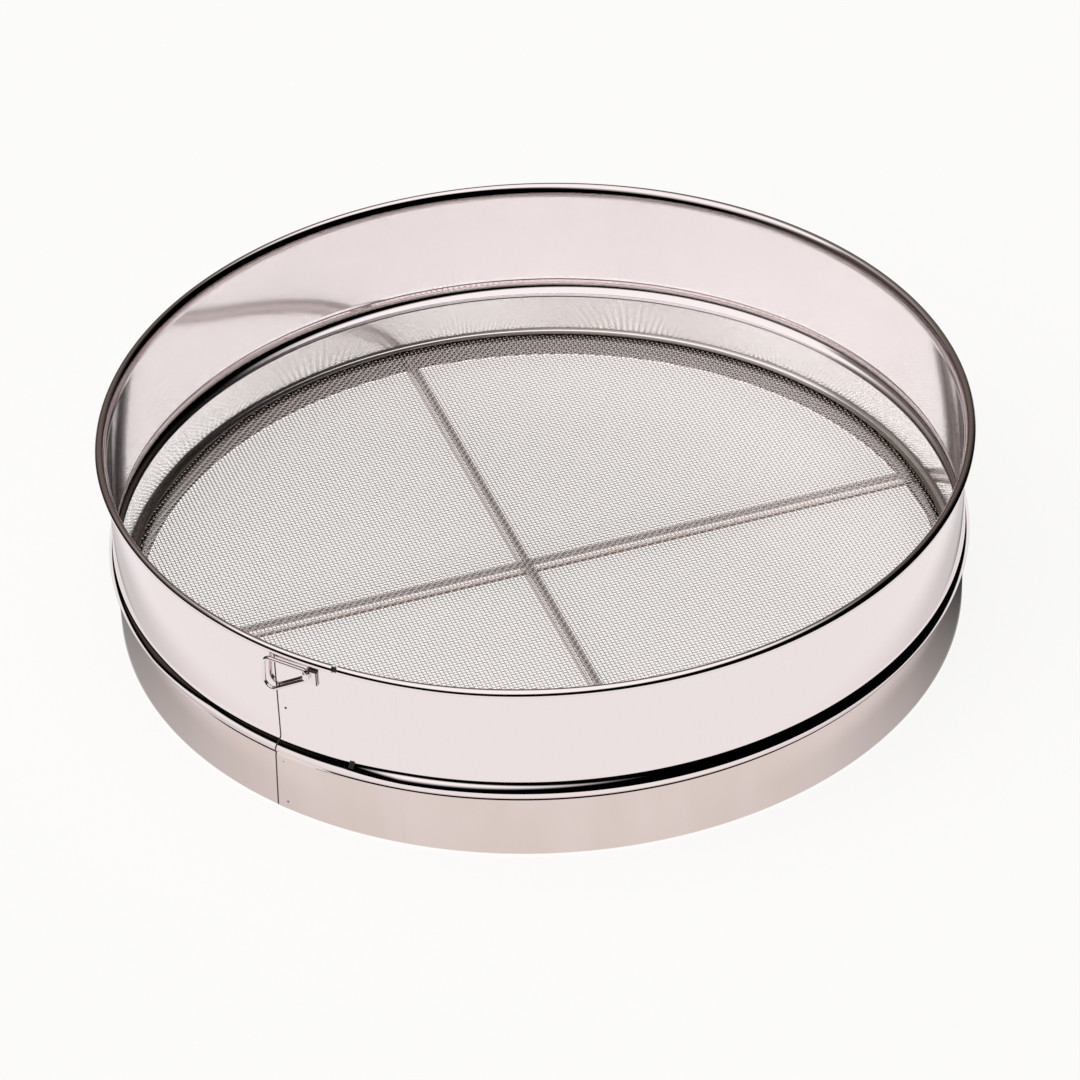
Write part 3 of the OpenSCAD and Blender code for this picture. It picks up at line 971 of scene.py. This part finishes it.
class TAMIS_OT_hanger(bpy.types.Operator):
    """Makes the hanging loop and the clip that it swings in"""

    bl_idname = "tamis.hanger"
    bl_label = "Hanger"

    def execute(self, context):
        self.loop(context)
        self.clip(context)
        return {"FINISHED"}

    @staticmethod
    def bends(hanger):
        """The loop's four bends: entry, centre, turn and exit, from the hinge line and the ground."""
        low, high = hanger.top - hanger.near_height, hanger.top
        far_low, far_high = hanger.top - hanger.far_height, hanger.top - hanger.droop
        corners = [Vector(at) for at in (
            (0, low), (0, high), (-hanger.reach + hanger.slant, far_high), (-hanger.reach, far_low)
        )]
        radii = (hanger.near_bend, hanger.near_bend, hanger.far_bend, hanger.far_bend)
        rows = []
        for i, (corner, radius) in enumerate(zip(corners, radii)):
            before = (corner - corners[i - 1]).normalized()
            after = (corners[(i + 1) % len(corners)] - corner).normalized()
            turn = abs(before.angle_signed(after))
            cut = radius * math.tan(turn / 2)
            entry = corner - before * cut
            centre = entry + Vector((-before.y, before.x)) * radius
            rows.append((entry, centre, turn, corner + after * cut))
        return rows

    def loop(self, context):
        """Sweeps the round wire along its sides and bends, and curves it with the wall."""
        hanger = context.scene.tamis_hanger
        bends = self.bends(hanger)
        at = bends[0][3]
        bm = bmesh.new()
        bmesh.ops.create_circle(bm, segments=16, radius=hanger.wire / 2)
        move_all(bm, (at.x, 0, at.y))
        ring = bm.edges[:]
        for entry, centre, turn, leave in bends[1:] + bends[:1]:
            made = bmesh.ops.extrude_edge_only(bm, edges=ring)["geom"]
            verts = {v for v in made if isinstance(v, BMVert)}
            edges = [e for e in made if isinstance(e, BMEdge)]
            ring = [e for e in edges if verts.issuperset(e.verts)]
            run = entry - at
            bmesh.ops.translate(bm, verts=list(verts), vec=(run.x, 0, run.y))
            made = bmesh.ops.spin(
                bm, geom=ring, cent=(centre.x, 0, centre.y), axis=-Y_AXIS, angle=turn, steps=10
            )
            ring = [e for e in made["geom_last"] if isinstance(e, BMEdge)]
            at = leave
        curve = 0.9 / (2 * HINGE_RADIUS)
        for vert in bm.verts:
            vert.co.y += vert.co.x**2 * curve
        self.to_hinge(bm)
        finish_piece("hanging_loop_wire", bm, "hanger_wire", "hanging_loop", body="loop")

    def clip(self, context):
        """Folds the strap round the hinge line and lays its foot on the wall."""
        hanger = context.scene.tamis_hanger
        outside = hanger.wire / 2 + hanger.play + hanger.strap
        low = hanger.top - hanger.near_height + hanger.near_bend * 0.72
        high = hanger.top - hanger.near_bend - 0.15 * MM
        bm = bmesh.new()
        line(bm, [(outside, low), (outside, high)])
        revolve(bm, 22, start=math.pi, span=math.radians(330))
        thicken(bm, hanger.strap)
        self.to_hinge(bm)
        finish_piece("clip_barrel", bm, "hanger_wire", "hanger_clip")
        wall = HINGE_RADIUS - outside
        face = wall + hanger.strap
        dark_face, edge = face + 0.06 * MM, 0.45 * MM
        middle = (low + high) / 2 - hanger.foot_drop
        foot, top = middle - hanger.foot_height / 2, middle + hanger.foot_height / 2
        near, far = outside * 0.6, outside + hanger.foot_width
        bright, dark = "hanger_wire", "weld_spots_and_shade"
        mouth_low, mouth_high = top - 0.9 * MM, top + 0.3 * MM
        # clip_edge and clip_mouth are dark strips of painted shadow: one along the foot's far edge,
        # one along the top edge of the foot from by the barrel's mouth.
        for name, metal, radius, low, high, start, end, steps, soft in (
            ("clip_foot", bright, face, foot, top, near, far, 8, 0.12 * MM),
            ("clip_edge", dark, dark_face, foot - 0.2 * MM, top, far - edge, far, 6, 0),
            ("clip_mouth", dark, dark_face, mouth_low, mouth_high, 0.4 * MM, far, 6, 0),
        ):
            bm = bmesh.new()
            line(bm, [(radius, low), (radius, high)])
            revolve(bm, steps, start=HINGE_AZIMUTH + start / wall, span=(end - start) / wall)
            thicken(bm, hanger.strap)
            if soft:
                soften(bm, soft)
            finish_piece(name, bm, metal, "hanger_clip")

    @staticmethod
    def to_hinge(bm):
        """Moves what was drawn about the origin to the hinge line."""
        place = Matrix.Translation((HINGE.x, HINGE.y, 0)) @ Matrix.Rotation(HINGE_AZIMUTH, 4, "Z")
        bmesh.ops.transform(bm, verts=bm.verts, matrix=place)


class TAMIS_OT_stage(bpy.types.Operator):
    """Sets the floor, the light and the camera"""

    bl_idname = "tamis.stage"
    bl_label = "Stage"

    def execute(self, context):
        self.floor(context)
        self.light(context)
        self.camera(context)
        context.scene.view_settings.view_transform = "Standard"
        return {"FINISHED"}

    @staticmethod
    def floor(context):
        """A floor: pale to the camera, and a small bright table to the steel."""
        studio = context.scene.tamis_studio
        bm = bmesh.new()
        bmesh.ops.create_circle(bm, cap_ends=True, segments=96, radius=studio.floor_radius)
        material = bpy.data.materials.new("floor")
        floor = as_object("floor", bm, material)
        recipe = Recipe(material)
        x, y, _ = recipe.xyz()
        away = recipe.away()
        under = 1 - away.within(0.168, 0.172)
        beside = 1 - away.within(0.182, 0.194)
        near = 1 - away.within(0.196, 0.218)
        white, falling = 0.98, 0.62
        matt = recipe.node("BsdfDiffuse", Color=((white - studio.floor_glow) / falling,) * 3)
        glowing = under * 0.05 + studio.floor_glow
        lit = recipe.node("Emission", Color=(1, 0.995, 0.985), Strength=glowing)
        seen = recipe.node("AddShader", matt, lit)
        # The table reaches further behind the drum. Its shade deepens to the back and the right.
        reach = away - y.within(0.20, 0.32) * 0.25
        beyond = reach.within(studio.table_radius - 15 * MM, studio.table_radius + 25 * MM)
        sides = beside * (x.within(0, 0.15) * 0.6 + 1) * studio.side_shade
        shade = y.within(-0.19, 0.02) * (near * studio.near_shade + sides)
        glow = (studio.table_glow - shade) * (1 - under) + under * studio.under_glow
        # Painted shade: close round the drum the table's glow is also a little warmer.
        warm = recipe.colours(near - under, (1, 0.99, 0.99), (1, 0.975, 0.965))
        table = recipe.node("Emission", Color=warm, Strength=glow * (1 - beyond))
        mirrored = recipe.node("LightPath", output="Is Glossy Ray")
        surface = recipe.node("MixShader", mirrored, seen, table)
        recipe.node("OutputMaterial", Surface=surface)

    @staticmethod
    def light(context):
        """White to the camera. To the steel it's bright overhead and dark all round."""
        world = bpy.data.worlds.new("studio")
        context.scene.world = world
        recipe = Recipe(world)
        sky = recipe.node("TexCoord", output="Generated")

        def towards(direction, low, high):
            """0 to 1 as the sky turns towards a direction."""
            dot = {"operation": "DOT_PRODUCT"}
            turned = recipe.amount("VectorMath", sky, direction, settings=dot, output="Value")
            return turned.within(low, high)

        behind = towards((-0.6, 0.8, 0), -0.1, 0.7) * towards((0, 0, 1), -0.25, 0.6)
        dark = recipe.colours(behind, (0, 0, 0), (0.15, 0.125, 0.11))
        overhead = towards((-0.33, -0.13, 1), 0.56, 0.78)
        back_screen = towards((-0.35, 0.6, 0.72), 0.93, 0.965) * 0.85
        left_screen = towards((-0.87, 0.3, 0.4), 0.92, 0.97) * 0.9
        bright = overhead * (1 - (back_screen + left_screen))
        mirrored = recipe.colours(bright, dark, (1.07, 1.06, 1.06))
        to_camera = recipe.node("LightPath", output="Is Camera Ray")
        seen = recipe.colours(to_camera, mirrored, (1, 1, 1))
        background = recipe.node("Background", Color=seen, Strength=1.0)
        recipe.node("OutputWorld", Surface=background)

    @staticmethod
    def camera(context):
        """The photograph's camera."""
        studio = context.scene.tamis_studio
        forward = Vector((0, math.cos(studio.down), -math.sin(studio.down)))
        upward = Vector((0, math.sin(studio.down), math.cos(studio.down)))
        data = bpy.data.cameras.new("camera")
        data.lens = studio.focal
        data.sensor_width = studio.sensor
        data.clip_end = 50
        camera = bpy.data.objects.new("camera", data)
        context.scene.collection.objects.link(camera)
        aim = Vector((0, 0, studio.aim_height))
        shift = X_AXIS * studio.shift_x + upward * studio.shift_y
        camera.location = aim - forward * studio.distance - shift
        side = math.cos(studio.roll) * X_AXIS + math.sin(studio.roll) * upward
        top = -math.sin(studio.roll) * X_AXIS + math.cos(studio.roll) * upward
        camera.rotation_euler = Matrix((side, top, -forward)).transposed().to_euler()
        context.scene.camera = camera


class TAMIS_PT_sieve(bpy.types.Panel):
    """Lists the sieve's pieces"""

    bl_label = "Tamis drum sieve"
    bl_space_type = "VIEW_3D"
    bl_region_type = "UI"
    bl_category = "Tamis"

    def draw(self, context):
        for operator in OPERATORS:
            self.layout.operator(operator.bl_idname)
        for name, group in GROUPS.items():
            box = self.layout.box()
            box.label(text=group.__doc__)
            for key in group.__annotations__:
                box.prop(getattr(context.scene, name), key)


GROUPS = {
    "tamis_drum": DrumSizes,
    "tamis_lap": LapSizes,
    "tamis_cloth": ClothSizes,
    "tamis_cross": CrossSizes,
    "tamis_hanger": HangerSizes,
    "tamis_finishes": Finishes,
    "tamis_studio": Studio,
}
OPERATORS = (
    TAMIS_OT_drum_shell,
    TAMIS_OT_side_lap,
    TAMIS_OT_rim_wire,
    TAMIS_OT_cloth_rings,
    TAMIS_OT_wire_cloth,
    TAMIS_OT_support_cross,
    TAMIS_OT_hanger,
    TAMIS_OT_stage,
)


def register():
    """Makes the sizes, the operators and the panel known."""
    for name, group in GROUPS.items():
        bpy.utils.register_class(group)
        setattr(bpy.types.Scene, name, PointerProperty(type=group))
    for made in (*OPERATORS, TAMIS_PT_sieve):
        bpy.utils.register_class(made)


def unregister():
    """Takes them away again."""
    for made in (TAMIS_PT_sieve, *reversed(OPERATORS)):
        bpy.utils.unregister_class(made)
    for name, group in reversed(GROUPS.items()):
        delattr(bpy.types.Scene, name)
        bpy.utils.unregister_class(group)


def main():
    """Builds the sieve."""
    register()
    for operator in OPERATORS:
        family, name = operator.bl_idname.split(".")
        getattr(getattr(bpy.ops, family), name)()
    bpy.context.view_layer.update()


if __name__ == "__main__":
    main()
